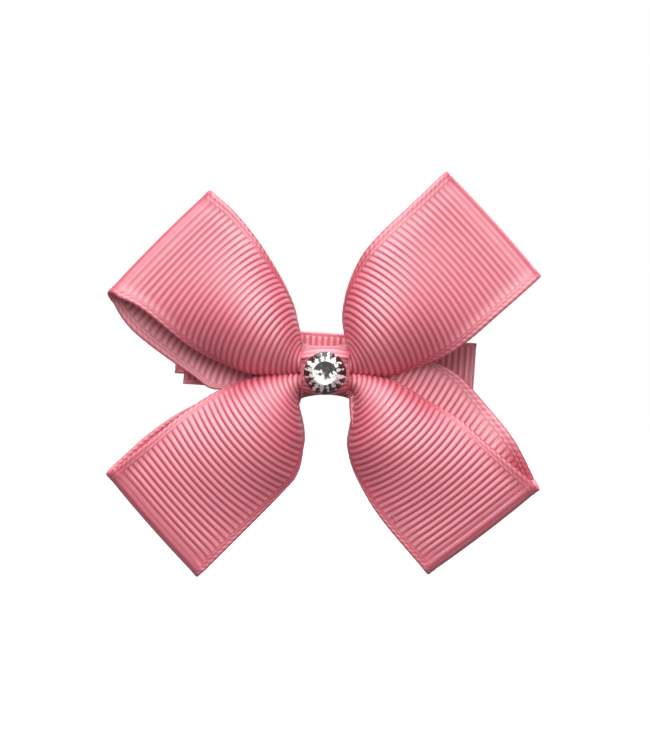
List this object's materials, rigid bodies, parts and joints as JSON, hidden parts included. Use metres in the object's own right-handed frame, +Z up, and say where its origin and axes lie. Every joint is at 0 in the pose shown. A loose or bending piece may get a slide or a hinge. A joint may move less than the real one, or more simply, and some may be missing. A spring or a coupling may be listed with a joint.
{
  "type": "hair bow",
  "caption": "X-shaped grosgrain ribbon hair bow with a rhinestone on its centre wrap, glued to a ribbon-lined sprung alligator clip.",
  "frame": {"origin": "on the hair side of the lined upper clip arm, straight behind the rhinestone's centre", "axes": "+X to the wearer-facing viewer's right along the clip to its nose, +Y out of the back of the bow towards the hair, +Z up; the bow's front faces -Y"},
  "size_m": [0.0679, 0.0258, 0.0632],
  "materials": {
    "bow_ribbon": "ribbed grosgrain, dusty rose, satin highlights",
    "wrap_ribbon": "narrow ribbed grosgrain, dusty rose",
    "lining_ribbon": "narrow ribbed grosgrain, dusty rose, heat-sealed ends",
    "thread": "polyester thread",
    "crystal": "clear, faceted and polished",
    "foil": "silver foil",
    "glue": "clear hot-melt glue",
    "clip_steel": "nickel-plated pressed steel",
    "spring_steel": "drawn spring wire"
  },
  "bodies": {
    "bow": {"rear_bow_ribbon": "bow_ribbon", "front_bow_ribbon": "bow_ribbon", "gathering_thread": "thread", "centre_wrap": "wrap_ribbon", "stone_glue": "glue", "stone_foil": "foil", "rhinestone": "crystal", "bow_glue": "glue", "clip_upper_arm": "clip_steel", "clip_upper_lining": "lining_ribbon", "hinge_pin": "clip_steel", "torsion_spring": "spring_steel"},
    "lower_arm": {"clip_lower_arm": "clip_steel", "clip_lower_lining": "lining_ribbon"}
  },
  "joints": [
    {"name": "clip_hinge", "type": "hinge", "parent": "bow", "child": "lower_arm", "pos_m": [-0.00798, 0.0032, 0.00211], "axis": [0.0698, 0, 0.9976], "range_deg": [0, 30], "stiffness_Nm_per_rad": 0.06, "springref_deg": -45.84, "deforming": ["torsion_spring"]}
  ]
}
